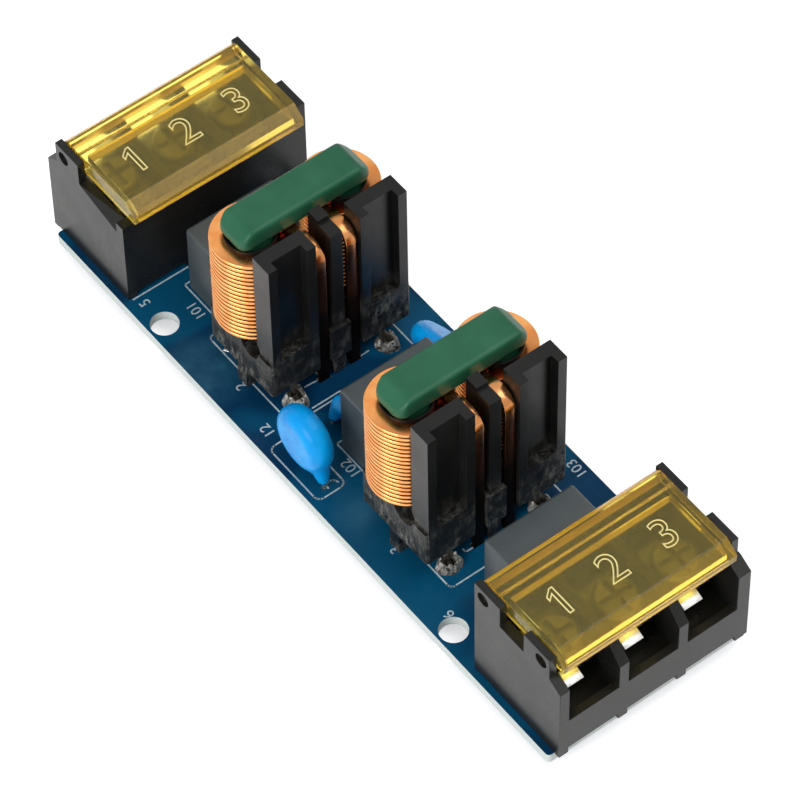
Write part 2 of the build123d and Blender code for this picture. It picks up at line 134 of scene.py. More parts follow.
def refined(node, material, bevel_mm, segments=2, body=MAIN):
    """The CAD node's shape with its sharp edges rounded; flat faces stay flat, curved ones are smooth."""
    bm = node_bmesh(node)
    sharp = []
    for face in bm.faces:
        face.smooth = False
    for edge in bm.edges:
        if len(edge.link_faces) == 2:
            turn = edge.calc_face_angle(0)
            if turn > SHARP_TURN:
                sharp.append(edge)
            elif turn > CURVED_TURN:
                for face in edge.link_faces:
                    face.smooth = True
    if bevel_mm:
        made = bmesh.ops.bevel(
            bm,
            geom=sharp,
            offset=bevel_mm * MM,
            offset_type="OFFSET",
            segments=segments,
            profile=0.5,
            affect="EDGES",
            clamp_overlap=True,
        )
        for face in made["faces"]:
            face.smooth = True
    return add_mesh(node + "_look", bm, material, body, None, (node,))


def melted(node, material, voxel_mm, rounds, name):
    """The CAD node's shape with every edge softened, as a thick dipped coat leaves it."""
    temp = new_object(name + "_source", NODES[node].data.copy())
    remesh = temp.modifiers.new("remesh", "REMESH")
    remesh.mode = "VOXEL"
    remesh.voxel_size = voxel_mm * MM
    soft = temp.modifiers.new("soft", "SMOOTH")
    soft.factor = 0.5
    soft.iterations = rounds
    graph = bpy.context.evaluated_depsgraph_get()
    bm = bmesh.new()
    bm.from_mesh(temp.evaluated_get(graph).to_mesh())
    bpy.data.objects.remove(temp)
    obj = add_mesh(name, bm, material, MAIN, None, (node,))
    obj.data.shade_smooth()


# ---- Materials ----
class Shade:
    """A material around one Principled BSDF, with its patterns in the object's own frame."""

    def __init__(self, name, base, rough, **values):
        self.mat = bpy.data.materials.new(name)
        self.mat.use_nodes = True
        self.tree = self.mat.node_tree
        self.bsdf = self.tree.nodes["Principled BSDF"]
        self.bsdf.inputs["Base Color"].default_value = (*base, 1)
        self.bsdf.inputs["Roughness"].default_value = rough
        for key, value in values.items():
            self.bsdf.inputs[key.replace("_", " ")].default_value = value
        self.coord = self.add("ShaderNodeTexCoord").outputs["Object"]

    def add(self, kind, **values):
        node = self.tree.nodes.new(kind)
        for key, value in values.items():
            if hasattr(node, key):
                setattr(node, key, value)
            else:
                node.inputs[key.replace("_", " ")].default_value = value
        return node

    def link(self, a, b):
        self.tree.links.new(a, b)

    def stretch(self, scale):
        node = self.add("ShaderNodeMapping")
        node.inputs["Scale"].default_value = scale
        self.link(self.coord, node.inputs["Vector"])
        return node.outputs["Vector"]

    def noise(self, size_mm, detail, rough=0.5, vector=None):
        node = self.add("ShaderNodeTexNoise", Scale=1.0 / (size_mm * MM), Detail=detail, Roughness=rough)
        self.link(vector or self.coord, node.inputs["Vector"])
        return node.outputs["Fac"]

    def ramp(self, fac, low, high, a, b):
        """Fac between low and high goes from value a to value b, as a number."""
        node = self.add("ShaderNodeMapRange", clamp=True)
        for key, value in (("From Min", low), ("From Max", high), ("To Min", a), ("To Max", b)):
            node.inputs[key].default_value = value
        self.link(fac, node.inputs["Value"])
        return node.outputs["Result"]

    def blend(self, fac, a, b):
        """Colour a where fac is 0 and b where it is 1; a and b are colours or sockets."""
        node = self.add("ShaderNodeMix", data_type="RGBA")
        self.link(fac, node.inputs["Factor"])
        for value, socket in ((a, node.inputs[6]), (b, node.inputs[7])):
            if isinstance(value, tuple):
                socket.default_value = (*value, 1)
            else:
                self.link(value, socket)
        return node.outputs[2]

    def patches(self, size_mm, detail, low, high, a=0, b=1):
        """Noise whose values from low to high go from a to b."""
        return self.ramp(self.noise(size_mm, detail), low, high, a, b)

    def mottled(self, size_mm, detail, a, b, low=0.35, high=0.7):
        """Two colours in soft patches."""
        return self.blend(self.patches(size_mm, detail, low, high), a, b)

    def maths(self, operation, a, b=0.0):
        node = self.add("ShaderNodeMath", operation=operation)
        for value, socket in ((a, node.inputs[0]), (b, node.inputs[1])):
            if isinstance(value, (int, float)):
                socket.default_value = value
            else:
                self.link(value, socket)
        return node.outputs[0]

    def colour(self, socket):
        self.link(socket, self.bsdf.inputs["Base Color"])

    def roughness(self, socket):
        self.link(socket, self.bsdf.inputs["Roughness"])

    def bump(self, height, distance_mm, strength):
        node = self.add("ShaderNodeBump", Strength=strength, Distance=distance_mm * MM)
        self.link(height, node.inputs["Height"])
        self.link(node.outputs["Normal"], self.bsdf.inputs["Normal"])

    def component(self, vector, which):
        node = self.add("ShaderNodeSeparateXYZ")
        self.link(vector, node.inputs["Vector"])
        return node.outputs[which]

    def place(self, which):
        """One component of the point's place in the object's frame."""
        return self.component(self.coord, which)

    def normal(self, which):
        """One component of the face's normal in the world."""
        return self.component(self.add("ShaderNodeNewGeometry").outputs["True Normal"], which)

    def from_axis(self):
        """The point's distance from the object's own upright axis."""
        node = self.add("ShaderNodeVectorMath", operation="LENGTH")
        self.link(self.stretch((1, 1, 0)), node.inputs[0])
        return node.outputs["Value"]

    def near(self, place, inner_mm, outer_mm):
        """1 within inner_mm of a place, fading to 0 at outer_mm."""
        node = self.add("ShaderNodeVectorMath", operation="DISTANCE")
        self.link(self.coord, node.inputs[0])
        node.inputs[1].default_value = place
        return self.ramp(node.outputs["Value"], inner_mm * MM, outer_mm * MM, 1, 0)


def black_plastic(name, base, rough, gloss, dust=None):
    """Moulded black plastic; dust is two heights, full of dust below the first and clean above the second."""
    s = Shade(name, base, rough, Specular_IOR_Level=gloss)
    tint = s.mottled(6.0, 4, base, tuple(v * 1.5 + 0.001 for v in base))
    fine = s.noise(0.3, 2)
    rough_map = s.patches(5.0, 4, 0.3, 0.75, rough - 0.03, rough + 0.06)
    if dust is None:
        s.roughness(rough_map)
        s.bump(fine, 0.01, 0.4)
    else:
        height = s.ramp(s.place("Z"), *dust, 1, 0)
        patch = s.patches(4.0, 3, 0.36, 0.60, 0.1, 1)
        streaks = s.ramp(s.noise(0.9, 9, 0.8, s.stretch((1, 1, 0.4))), 0.48, 0.60, 0, 1)
        scratch = s.ramp(s.noise(0.3, 4, 0.6, s.stretch((1, 0.3, 1.8))), 0.54, 0.66, 0, 0.9)
        marks = s.maths("MAXIMUM", streaks, scratch)
        amount = s.maths("MULTIPLY", s.maths("MULTIPLY", height, patch), marks)
        tint = s.blend(s.maths("MULTIPLY", amount, 0.95), tint, (0.19, 0.19, 0.17))
        s.roughness(s.maths("ADD", rough_map, s.maths("MULTIPLY", amount, 0.35)))
        s.bump(s.maths("ADD", s.maths("MULTIPLY", amount, 2.0), fine), 0.03, 0.5)
    s.colour(tint)
    return s.mat


# Painted glare, pale light reflected off the board's near side: its middle, and the radii in mm where it is
# full and gone.
GLARE_SPOTS = (((-0.0215, -0.0135, BOARD_TOP), 2.0, 7.0), ((0.0092, -0.0118, BOARD_TOP), 1.0, 4.5))


def board_material():
    """Blue mask with darker and brighter areas, painted pale glare near its front and pale patches over the
    top, bare glass fibre on the cut edges.
    """
    s = Shade("board_mask", (0.003, 0.04, 0.11), 0.24, Specular_IOR_Level=0.08)
    pour = s.ramp(s.noise(16.0, 1.5, 0.4), 0.47, 0.53, 0, 1)
    mask = s.blend(pour, (0.0025, 0.038, 0.098), (0.0025, 0.072, 0.155))
    # Painted glare: pale reflected light laid into the mask's colour at two spots near the front edge.
    painted_glare = s.maths("MAXIMUM", *(s.near(*spot) for spot in GLARE_SPOTS))
    painted_glare = s.maths("MULTIPLY", painted_glare, s.ramp(s.noise(4.0, 4, 0.6), 0.36, 0.6, 0.4, 1))
    pale_patches = s.ramp(s.noise(11.0, 5, 0.6), 0.54, 0.75, 0, 0.3)
    amount = s.maths("MULTIPLY", s.maths("MAXIMUM", painted_glare, pale_patches), 0.85)
    mask = s.blend(amount, mask, (0.026, 0.125, 0.22))
    cut = s.ramp(s.maths("ABSOLUTE", s.normal("Z")), 0.5, 0.7, 1, 0)
    weave = s.ramp(s.noise(0.3, 2, 0.5, s.stretch((1, 1, 6))), 0.3, 0.7, 0, 1)
    pale = s.blend(weave, (0.50, 0.56, 0.55), (0.70, 0.75, 0.73))
    s.colour(s.blend(cut, mask, pale))
    s.roughness(s.ramp(cut, 0, 1, 0.24, 0.8))
    s.bump(s.noise(0.9, 3), 0.006, 0.4)
    return s.mat


# Heights of the painted shade on a lead strip running down in the trough: from near-black to brown, and from
# brown to bright copper.
DEEP_SHADE_HEIGHTS = (BOARD_TOP + 14 * MM, BOARD_TOP + 24 * MM)
HALF_SHADE_HEIGHTS = (BOARD_TOP + 24.0 * MM, BOARD_TOP + 27.5 * MM)
# Painted shade in a coil's grooves between turns: dark up to these distances from its axis, and on all turns
# but the top one.
GROOVE_SHADE_RADII = (COIL_RADIUS - 0.22 * MM, COIL_RADIUS - 0.07 * MM)
GROOVE_SHADE_HEIGHTS = (COIL_TOP - 0.6 * MM, COIL_TOP - 0.4 * MM)


def copper(name, painted_lead_shade=False):
    """Enamelled copper with painted shade: dark between a coil's turns, and for the lead strips darker copper
    that goes brown and near-black towards the board.
    """
    s = Shade(name, (0.84, 0.38, 0.15), 0.24, Metallic=1.0)
    glow = s.patches(1.4, 3, 0.3, 0.7, 0.2, 0.3)
    if painted_lead_shade:
        # Painted shade: a darker copper that turns brown and near-black towards the board, where the strip
        # runs down in shade.
        tint = s.mottled(2.4, 2, (0.66, 0.27, 0.09), (0.78, 0.36, 0.15))
        edge = s.maths("ADD", s.place("Z"), s.maths("MULTIPLY", s.noise(4.0, 2), 2 * MM))
        tint = s.blend(s.ramp(edge, *HALF_SHADE_HEIGHTS, 1, 0), tint, (0.20, 0.062, 0.020))
        deep_shade = s.ramp(edge, *DEEP_SHADE_HEIGHTS, 1, 0)
        tint = s.blend(deep_shade, tint, (0.018, 0.009, 0.005))
        glow = s.maths("ADD", glow, s.maths("MULTIPLY", deep_shade, 0.3))
    else:
        tint = s.mottled(2.4, 2, (0.92, 0.35, 0.105), (0.99, 0.48, 0.17))
        # Painted shade between the turns, where the gaps lie in shade.
        groove_shade = s.ramp(s.from_axis(), *GROOVE_SHADE_RADII, 1, 0)
        below = s.ramp(s.place("Z"), *GROOVE_SHADE_HEIGHTS, 1, 0)
        tint = s.blend(s.maths("MULTIPLY", groove_shade, below), tint, (0.16, 0.022, 0.004))
    s.colour(tint)
    s.roughness(glow)
    s.bump(s.noise(0.9, 2), 0.004, 0.3)
    return s.mat


def green_coat():
    s = Shade(
        "core_coat", (0.022, 0.115, 0.06), 0.34, Specular_IOR_Level=0.16, Coat_Weight=0.06, Coat_Roughness=0.1
    )
    s.colour(s.mottled(5.0, 4, (0.019, 0.108, 0.055), (0.028, 0.132, 0.071)))
    s.roughness(s.patches(1.5, 4, 0.3, 0.7, 0.28, 0.42))
    s.bump(s.noise(0.6, 3), 0.012, 0.5)
    return s.mat


def capacitor_grey():
    s = Shade("capacitor_case", (0.04, 0.05, 0.055), 0.5, Specular_IOR_Level=0.75)
    s.colour(s.mottled(4.0, 3, (0.030, 0.041, 0.046), (0.040, 0.053, 0.059)))
    s.roughness(s.patches(1.2, 4, 0.3, 0.7, 0.44, 0.56))
    s.bump(s.noise(0.22, 2), 0.008, 0.5)
    return s.mat


def blue_epoxy():
    s = Shade("disc_coat", (0.005, 0.32, 0.82), 0.2, Specular_IOR_Level=0.16)
    s.colour(s.mottled(3.0, 3, (0.001, 0.26, 0.70), (0.002, 0.37, 0.86)))
    s.roughness(s.patches(1.1, 3, 0.3, 0.7, 0.22, 0.36))
    s.bump(s.noise(1.8, 2), 0.04, 0.3)
    return s.mat


def amber(name, shade_a, shade_b, clear, rough):
    """Amber plastic between two shades; clear is the share of light that passes through."""
    s = Shade(name, shade_a, rough, Transmission_Weight=clear, IOR=1.36, Specular_IOR_Level=0.2)
    s.colour(s.mottled(7.0, 3, shade_a, shade_b))
    s.roughness(s.patches(1.5, 4, 0.35, 0.8, rough - 0.02, rough + 0.07))
    s.bump(s.noise(3.0, 2), 0.015, 0.3)
    return s.mat


def metal(name, base, rough, grain_mm=1.0, shaded_within=None):
    """Plain metal; given a distance along X, it gets painted shade nearer to the board's middle than that
    distance.
    """
    s = Shade(name, base, rough, Metallic=1.0)
    tint = s.mottled(1.5, 4, tuple(v * 0.82 for v in base), base, 0.3)
    if shaded_within is not None:
        # Painted shade: a near-black tint on the plates that lie in shade under the covers.
        along = s.maths("ABSOLUTE", s.place("X"))
        shade_under_cover = s.ramp(along, shaded_within - 0.5 * MM, shaded_within, 1, 0)
        tint = s.blend(shade_under_cover, tint, (0.10, 0.10, 0.09))
    s.colour(tint)
    s.roughness(s.patches(grain_mm, 4, 0.3, 0.7, rough - 0.06, rough + 0.12))
    s.bump(s.noise(grain_mm, 3), 0.01, 0.4)
    return s.mat


def crusted_solder():
    """Burnt flux in the hollow of each joint, pale lumpy metal around it."""
    s = Shade("solder_crust", (0.3, 0.29, 0.25), 0.45, Metallic=0.4)
    hollow = s.ramp(s.from_axis(), 0.7 * MM, 1.15 * MM, 1, 0)
    flux = s.ramp(s.noise(0.5, 5, 0.7), 0.46, 0.60, 0, 1)
    pale = s.mottled(0.7, 3, (0.46, 0.46, 0.43), (0.27, 0.25, 0.22), 0.4, 0.6)
    s.colour(s.blend(s.maths("MAXIMUM", hollow, flux), pale, (0.022, 0.018, 0.011)))
    s.roughness(s.patches(0.4, 4, 0.3, 0.7, 0.3, 0.7))
    s.bump(s.noise(0.35, 5, 0.7), 0.10, 0.8)
    return s.mat


def ink():
    s = Shade("board_print", (0.50, 0.58, 0.62), 0.6)
    s.colour(s.mottled(0.5, 4, (0.52, 0.60, 0.64), (0.26, 0.38, 0.45), 0.4, 0.75))
    s.bump(s.noise(0.3, 2), 0.006, 0.5)
    return s.mat


# The bobbins' dust thins out between these heights, and the clamps' lips begin this far from the board's
# middle; nearer in, under the covers, the clamps get painted shade.
BOBBIN_DUST = (BOARD_TOP + 5 * MM, BOARD_TOP + 14 * MM)
CLAMP_LIPS = 51.2 * MM

HOUSING = black_plastic("housing_plastic", (0.010, 0.010, 0.0095), 0.28, 0.24)
BOBBIN = black_plastic("bobbin_plastic", (0.006, 0.006, 0.0056), 0.3, 0.24, BOBBIN_DUST)
BOARD = board_material()
COPPER = copper("copper_enamel")
# Copper for the lead strips, a darker copy with painted shade low down.
SHADED_COPPER = copper("copper_painted_shade", True)
GREEN = green_coat()
GREY = capacitor_grey()
BLUE = blue_epoxy()
AMBER = amber("cover_amber", (0.86, 0.69, 0.13), (0.90, 0.75, 0.17), 0.94, 0.15)
AMBER_BAR = amber("cover_bar", (0.95, 0.54, 0.05), (0.98, 0.62, 0.08), 0.5, 0.14)
AMBER_RIM = amber("cover_rim", (0.92, 0.62, 0.09), (0.96, 0.68, 0.12), 0.85, 0.13)
# The moulded figures on the covers, drawn as outlines in a paler, less clear amber that paints the highlights
# along their edges.
AMBER_FIGURE_HIGHLIGHT = amber("cover_figure_highlight", (1.0, 0.86, 0.34), (1.0, 0.90, 0.42), 0.2, 0.2)
# Painted shade: dark plastic for the cover's pin ends, which lie in shade inside the hinge holes.
PIN_SHADE = black_plastic("pin_shade_plastic", (0.005, 0.005, 0.0045), 0.4, 0.2)
TIN = metal("tinned_metal", (0.80, 0.79, 0.76), 0.26)
ZINC = metal("screw_zinc", (0.22, 0.22, 0.20), 0.5)
DULL = metal("lead_dull", (0.34, 0.31, 0.26), 0.4, 0.6)
CLAMP = metal("clamp_metal", (0.80, 0.79, 0.76), 0.26, shaded_within=CLAMP_LIPS)
CRUST = crusted_solder()
INK = ink()


def dress(node, material):
    """A CAD node that stays, in a better material."""
    slots = NODES[node].data.materials
    slots.clear()
    slots.append(material)


# ---- Carried-over parts with rounded edges ----
# Zones of a cover: the hinge bar's depth from its back edge, the rim's depth at its front edge, where the rim
# begins at its far side, and where the hinge pins' ends begin on either side.
BAR_DEPTH = 3.2 * MM
RIM_DEPTH = 1.2 * MM
RIM_SIDE = 13.0 * MM
PIN_SIDE = 14.5 * MM


def cover(end):
    """The clear cover, with a denser hinge bar and rim, and with painted shade on its hinge pins' ends, which
    sit in shade inside the hinge holes.
    """
    obj = refined(f"terminal_{end}_cover", AMBER, 0.22, 3, body=f"{end}_cover")
    for material in (AMBER_BAR, PIN_SHADE, AMBER_RIM):
        obj.data.materials.append(material)
    bar, pin, rim = 1, 2, 3
    back, front = (v.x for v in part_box(f"terminal_{end}_cover"))
    for face in obj.data.polygons:
        centre, normal = face.center, face.normal
        if centre.x < back + BAR_DEPTH and (normal.z > 0.3 or normal.x < -0.3):
            face.material_index = bar
        elif centre.x > front - RIM_DEPTH or centre.y > RIM_SIDE:
            face.material_index = rim
        # Painted shade: the pins' ends get the dark plastic for the shade inside the hinge holes.
        if abs(centre.y) > PIN_SIDE and abs(normal.y) > 0.9:
            face.material_index = pin


refined("circuit_board", BOARD, 0.0)
for end in ENDS:
    refined(f"terminal_{end}_housing", HOUSING, 0.16)
    cover(end)
    refined(f"terminal_{end}_contacts", TIN, 0.1)
    refined(f"terminal_{end}_clamps", CLAMP, 0.1)
    refined(f"terminal_{end}_screws", ZINC, 0.12)
    refined(f"choke_{end}_bobbin", BOBBIN, 0.3, 3)
    melted(f"choke_{end}_core", GREEN, 0.22, 20, f"core_{end}")
for place in ("front", "middle", "rear"):
    refined(f"x_capacitor_{place}", GREY, 0.0)
    dress(f"x_capacitor_{place}_leads", TIN)


# ---- Windings ----
COIL_TURNS = 19
COIL_STEPS = 64
COIL_WIRE = 2.4 * MM
COIL_SECTION = rounded_section(COIL_WIRE, 0.6 * MM, 0.22 * MM)
# How far the wire stays inside the CAD's shape, and how far its turns stray sideways and upwards.
SKIN_GAP = 0.02 * MM
SWAY = 0.02 * MM
LIFT = 0.03 * MM
STRIP_WIDTH = 1.76 * MM
STRIP_THICK = 0.62 * MM
STRIP_SECTION = rounded_section(STRIP_WIDTH, STRIP_THICK, 0.17 * MM, 2)
STRIP_RISE = 0.8 * MM
STRIP_BEND = 2.5 * MM
# The strip's step up in front of the core: mm along X from the step's foot, and share of the rise.
STRIP_STEP = ((-1.0, 0), (0, 0), (0.7, 0.3), (1.4, 0.75), (2.0, 1))
STEP_FOOT = 0.3 * MM
BEND_STEPS = 10
DROP_STEPS = 8
TAIL_SECTION = rounded_section(0.95 * MM, 0.95 * MM, 0.3 * MM, 2)
# The tail's distance in front of the core and outwards from the coil's middle, and the solder's from
# the tail.
TAIL_X = 5.35 * MM
TAIL_Y = 0.05 * MM
CRUST_SHIFT = (0.8 * MM, 0.35 * MM)
TAIL_HEIGHTS = (COIL_BOTTOM - 0.2 * MM, BOARD_TOP + 4 * MM, 0.02 * MM)


def coil_path(centre_x, centre_y, radius, top, sign, seed):
    """Turns around the leg, each a little off true, that end at the top on the strip's side."""
    bottom = COIL_BOTTOM + STRIP_THICK / 2
    pitch = (top - bottom) / COIL_TURNS
    path = []
    for i in range(COIL_TURNS * COIL_STEPS + 1):
        turn = i / COIL_STEPS
        left = COIL_TURNS - turn
        a = -sign * (math.pi / 2 + 2 * math.pi * left)
        sway = SWAY * (noise.noise(Vector((turn * 0.9, seed, 0.0))) - 0.5)
        lift = LIFT * noise.noise(Vector((turn * 0.6, seed, 5.0))) * min(1.0, left * 3)
        radial = Vector((math.cos(a), math.sin(a), 0))
        centre = Vector((centre_x, centre_y, bottom + pitch * turn + lift))
        path.append((centre + radial * (radius + sway), radial, UP))
    return path


def strip_path(foot, front, run_y, top, run_top, across, seed):
    """From the coil's top over the step, forward, round the bend and down to the board."""
    path = [
        (Vector((foot + x * MM, run_y, top + STRIP_RISE * share)), across, UP) for x, share in STRIP_STEP
    ]
    bend = STRIP_BEND - STRIP_THICK / 2
    for k in range(1, BEND_STEPS + 1):
        a = math.pi / 2 * k / BEND_STEPS
        x, z = front - bend + bend * math.sin(a), run_top - bend + bend * math.cos(a)
        path.append((Vector((x, run_y, z)), across, Vector((math.sin(a), 0, math.cos(a)))))
    for k in range(1, DROP_STEPS + 1):
        z = run_top - bend + (SKIN_GAP - run_top + bend) * k / DROP_STEPS
        drift = LIFT * noise.noise(Vector((k * 0.7, seed, 9.0)))
        path.append((Vector((front - abs(drift), run_y, z)), across, Vector((1, 0, 0))))
    return path


def winding(end, side):
    """One winding: the edge-wound coil, the flat strip down its front, and the tail with its solder."""
    node = f"choke_{end}_winding_{side}"
    low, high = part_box(node)
    core_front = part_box(f"choke_{end}_core")[1].x
    sign = -1 if side == "near" else 1
    centre_x = low.x + COIL_RADIUS
    centre_y = (low.y + COIL_RADIUS) if side == "near" else (high.y - COIL_RADIUS)
    seed = 3.0 * sign + centre_x * 100
    across = Vector((0, -sign, 0))
    run_top = high.z - STRIP_THICK / 2
    top = run_top - STRIP_RISE
    foot = core_front + STEP_FOOT

    radius = COIL_RADIUS - COIL_WIRE / 2 - SKIN_GAP
    path = coil_path(centre_x, centre_y, radius, top, sign, seed)
    path.append((Vector((foot - 1.0 * MM, centre_y - sign * radius, top)), across, UP))
    bm = sweep(path, COIL_SECTION)
    bmesh.ops.translate(bm, verts=bm.verts, vec=(-centre_x, -centre_y, 0))
    coil = add_mesh(f"coil_{end}_{side}", bm, COPPER, MAIN, 50.0, (node,))
    coil.location = (centre_x, centre_y, 0)

    run_y = centre_y - sign * (COIL_RADIUS - STRIP_WIDTH / 2 - SKIN_GAP)
    path = strip_path(foot, high.x - STRIP_THICK / 2, run_y, top, run_top, across, seed)
    bm = sweep(path, STRIP_SECTION)
    add_mesh(f"coil_lead_{end}_{side}", bm, SHADED_COPPER, MAIN, 50.0, (node,))

    tail_x = core_front + TAIL_X
    tail_y = centre_y + sign * TAIL_Y
    path = [(Vector((tail_x, tail_y, z)), Vector((1, 0, 0)), Vector((0, 1, 0))) for z in TAIL_HEIGHTS]
    bm = sweep(path, TAIL_SECTION)
    add_mesh(f"coil_tail_{end}_{side}", bm, DULL, MAIN, 50.0, (node,))
    heap_x, heap_y = tail_x + CRUST_SHIFT[0], tail_y + sign * CRUST_SHIFT[1]
    crust(end, side, heap_x, heap_y, 4 * MM * sign + centre_x * 37)


# A solder heap from its middle outwards: share of the radius, height in mm.
CRUST_PROFILE = (
    (0.12, 1.0), (0.3, 0.7), (0.46, 0.95), (0.6, 1.5), (0.74, 1.5), (0.87, 0.9), (0.96, 0.35), (1.0, 0.0)
)
CRUST_RADIUS = 1.98 * MM
CRUST_TOP = 1.8 * MM
CRUST_SIDES = 60


def crust(end, side, x, y, seed):
    """A rough heap of solder with a burnt hollow around the pin, sitting on the board."""
    bm = bmesh.new()
    rings = []
    for share, height in CRUST_PROFILE:
        ring = []
        for i in range(CRUST_SIDES):
            a = 2 * math.pi * i / CRUST_SIDES
            c, d = math.cos(a) * share, math.sin(a) * share
            lump = noise.noise(Vector((c * 1.9, d * 1.9, seed * 50)))
            grain = noise.noise(Vector((c * 6, d * 6, seed * 90)))
            rim = noise.noise(Vector((math.cos(a) * 1.3, math.sin(a) * 1.3, seed * 70)))
            r = CRUST_RADIUS * share * (0.86 + 0.14 * max(-1.0, min(1.0, rim * 2)))
            z = max(0.0, height * (0.85 + 0.55 * lump) + 0.45 * grain * (height > 0)) * MM
            z = min(z, CRUST_TOP - 0.02 * MM)
            ring.append(bm.verts.new((r * math.cos(a), r * math.sin(a), z)))
        rings.append(ring)
    skin(bm, rings)
    bmesh.ops.subdivide_edges(bm, edges=bm.edges[:], cuts=1, use_grid_fill=True, smooth=0.5)
    for v in bm.verts:
        v.co.z = max(0.0, min(v.co.z, CRUST_TOP))
    obj = add_mesh(f"crust_{end}_{side}", bm, CRUST, MAIN, 60.0)
    obj.location = (x, y, BOARD_TOP)
    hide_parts("solder_joints_upper")


for end in ENDS:
    for side in ("near", "far"):
        winding(end, side)


# ---- Disc capacitors, the solder underneath and the bare spot on the board ----
for place in ("near", "middle", "far"):
    melted(f"y_capacitor_{place}", BLUE, 0.2, 30, f"disc_{place}")
    dress(f"y_capacitor_{place}_leads", TIN)
melted("solder_joints_lower", TIN, 0.16, 4, "solder_lower")


def tinned_spot():
    """A short streak of solder on the board at the rear choke's near foot."""
    ends = [mm(-22.9 + 0.5 * k, -9.9 + 0.35 * k, 0.06) + Vector((0, 0, BOARD_TOP)) for k in range(3)]
    along = (ends[2] - ends[0]).normalized()
    across = Vector((-along.y, along.x, 0))
    section = rounded_section(0.55 * MM, 0.16 * MM, 0.07 * MM)
    add_mesh("tinned_spot", sweep([(p, across, UP) for p in ends], section), TIN, MAIN, 40.0)


tinned_spot()


# ---- Print on the board and figures on the covers ----
PRINT_THICK = 0.03
PRINT_LINE = 0.22


def printed(name, paths):
    """Flat lines along paths of (x, y) in mm."""
    bm = bmesh.new()
    half = PRINT_LINE / 2 * MM
    lift = Vector((0, 0, PRINT_THICK * MM))
    for path in paths:
        points = [Vector((x * MM, y * MM, 0)) for x, y in path]
        for a, b in zip(points, points[1:]):
            along = (b - a).normalized()
            side = Vector((-along.y, along.x, 0)) * half
            a2, b2 = a - along * half, b + along * half
            corners = (a2 - side, b2 - side, b2 + side, a2 + side)
            low = [bm.verts.new(p + Vector((0, 0, BOARD_TOP))) for p in corners]
            skin(bm, [low, [bm.verts.new(v.co + lift) for v in low]])
    add_mesh(name, bm, INK, MAIN, None)


def square_box(x0, y0, x1, y1):
    return [(x0, y0), (x1, y0), (x1, y1), (x0, y1), (x0, y0)]


def rounded_box(x0, y0, x1, y1, r=0.7):
    path = []
    corners = ((x1 - r, y1 - r, 0), (x0 + r, y1 - r, 90), (x0 + r, y0 + r, 180), (x1 - r, y0 + r, 270))
    for cx, cy, start in corners:
        for k in range(4):
            a = math.radians(start + 30 * k)
            path.append((cx + r * math.cos(a), cy + r * math.sin(a)))
    return path + [path[0]]


def half_circle(x, y, r):
    turns = [math.radians(a) for a in range(90, 271, 30)]
    return [(x + r * math.cos(a), y + r * math.sin(a)) for a in turns]


CHOKE_PRINTS = [rounded_box(-25.8, -10.3, -7.3, 10.3), rounded_box(7.7, -9.9, 26.0, 10.7)]
BOX_PRINTS = [
    square_box(-1.3, -7.5, 5.7, 7.5),
    square_box(28.8, -7.6, 35.8, 7.6),
    square_box(-34.9, -7.6, -27.9, 7.6),
]
DISC_PRINTS = [rounded_box(-6.1, -15.0, 4.6, -10.4, 0.9), half_circle(3.7, -11.9, 0.8)]
MARKS = [
    [(-37.1, -14.45), (-37.1, -5.5)],
    [(-11.3, -5.2), (-11.1, -2.6), (-12.2, -2.6)],
    [(-11.5, 2.6), (-10.8, 2.8), (-10.9, 5.0)],
    [(22.1, -4.9), (22.7, -4.9), (22.7, -2.6)],
    [(-7.9, -6.5), (-7.9, -2.0)],
    [(-4.5, -5.95), (-4.5, -4.5)],
]
printed("print_lines", CHOKE_PRINTS + BOX_PRINTS + DISC_PRINTS + MARKS)


FLAGGED_ONE = ((0.07, 0), (0.07, 1), (-0.03, 1), (-0.26, 0.8), (-0.26, 0.66), (-0.07, 0.82), (-0.07, 0))


def figure_curve(name, text, outlined):
    """The text's flat outline as a curve; an outlined 1 gets its own shape with a short flag."""
    if outlined and text == "1":
        curve = bpy.data.curves.new(name, "CURVE")
        curve.dimensions = "2D"
        spline = curve.splines.new("POLY")
        spline.points.add(len(FLAGGED_ONE) - 1)
        for point, (x, y) in zip(spline.points, FLAGGED_ONE):
            point.co = (x, y, 0, 1)
        spline.use_cyclic_u = True
    else:
        curve = bpy.data.curves.new(name, "FONT")
        curve.body = text
        curve.size = 1.0
    if outlined:
        curve.fill_mode = "NONE"
    return curve


def lettering(name, text, height_mm, centre, right, material, body, outline_mm=0.0):
    """Figures lying flat, with their height, the place of their middle and the direction they read in.

    They are thin plates, or wires of outline_mm around the outline."""
    curve = figure_curve(name + "_curve", text, outline_mm > 0)
    temp = new_object(name + "_source", curve)
    graph = bpy.context.evaluated_depsgraph_get()
    flat = temp.evaluated_get(graph).to_mesh()
    xs = [v.co.x for v in flat.vertices]
    ys = [v.co.y for v in flat.vertices]
    scale = height_mm * MM / (max(ys) - min(ys))
    middle = Vector(((max(xs) + min(xs)) / 2, (max(ys) + min(ys)) / 2, 0))
    temp.evaluated_get(graph).to_mesh_clear()
    if outline_mm:
        curve.bevel_depth = outline_mm / 2 * MM / scale
        curve.bevel_resolution = 2
    else:
        curve.extrude = PRINT_THICK / 2 * MM / scale
    graph.update()
    bm = bmesh.new()
    bm.from_mesh(temp.evaluated_get(graph).to_mesh())
    bpy.data.objects.remove(temp)
    right = Vector((*right, 0))
    up = Vector((-right.y, right.x, 0))
    for v in bm.verts:
        p = (v.co - middle) * scale
        v.co = Vector(centre) + right * p.x + up * p.y + Vector((0, 0, p.z))
    add_mesh(name, bm, material, body, 40.0)


